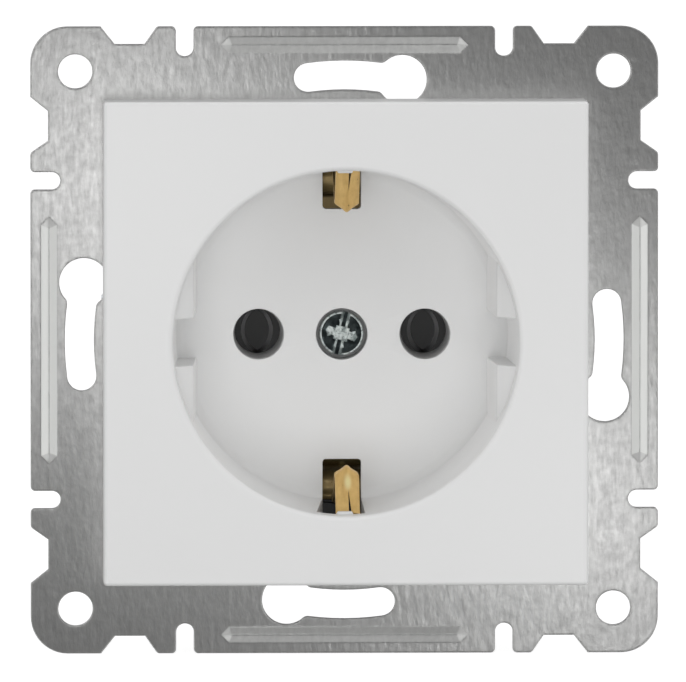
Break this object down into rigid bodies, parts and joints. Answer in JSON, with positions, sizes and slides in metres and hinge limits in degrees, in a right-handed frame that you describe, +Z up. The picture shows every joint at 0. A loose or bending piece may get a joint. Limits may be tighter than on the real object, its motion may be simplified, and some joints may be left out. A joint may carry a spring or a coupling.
{
  "type": "socket insert",
  "caption": "Flush earthed socket outlet insert: square cover with a round well, steel mounting plate, shutter, contacts and spreader claws.",
  "frame": {"origin": "centre of the mounting plate's back face, which lies on the wall", "axes": "+X right and +Z up as seen from the front, +Y into the wall, so the face looks along -Y"},
  "size_m": [0.0714, 0.0391, 0.0714],
  "materials": {
    "galvanised_steel": "galvanised sheet",
    "white_plastic": "glossy moulded",
    "black_plastic": "satin moulded",
    "housing_plastic": "matt moulded",
    "brass": "bare brass sheet",
    "zinc_steel": "zinc plated",
    "spring_steel": "bare spring wire and strip"
  },
  "bodies": {
    "insert": {"mounting_plate": "galvanised_steel", "cover_plate": "white_plastic", "cover_screw": "zinc_steel", "base_housing": "housing_plastic", "base_rivets": "zinc_steel", "shutter_clip": "spring_steel", "shutter_spring": "spring_steel", "contact_left": "brass", "contact_right": "brass", "terminal_clamp_left": "zinc_steel", "terminal_clamp_right": "zinc_steel", "terminal_screw_left": "zinc_steel", "terminal_screw_right": "zinc_steel", "earth_strap": "brass", "earth_clamp": "zinc_steel", "earth_screw": "zinc_steel", "screw_insert": "brass", "claw_pin_left": "zinc_steel", "claw_pin_right": "zinc_steel", "claw_screw_left": "zinc_steel", "claw_screw_right": "zinc_steel"},
    "shutter": {"shutter": "black_plastic"},
    "claw_left": {"claw_left": "galvanised_steel"},
    "claw_right": {"claw_right": "galvanised_steel"}
  },
  "joints": [
    {"name": "shutter_turn", "type": "hinge", "parent": "insert", "child": "shutter", "pos_m": [0, 0.018, 0], "axis": [0, 1, 0], "range_deg": [0, 36], "stiffness_Nm_per_rad": 0.002, "springref_deg": -11.46, "deforming": ["shutter_spring"]},
    {"name": "claw_left_spread", "type": "hinge", "parent": "insert", "child": "claw_left", "pos_m": [-0.0264, 0.0022, 0], "axis": [0, 0, 1], "range_deg": [0, 22]},
    {"name": "claw_right_spread", "type": "hinge", "parent": "insert", "child": "claw_right", "pos_m": [0.0264, 0.0022, 0], "axis": [0, 0, -1], "range_deg": [0, 22]}
  ]
}
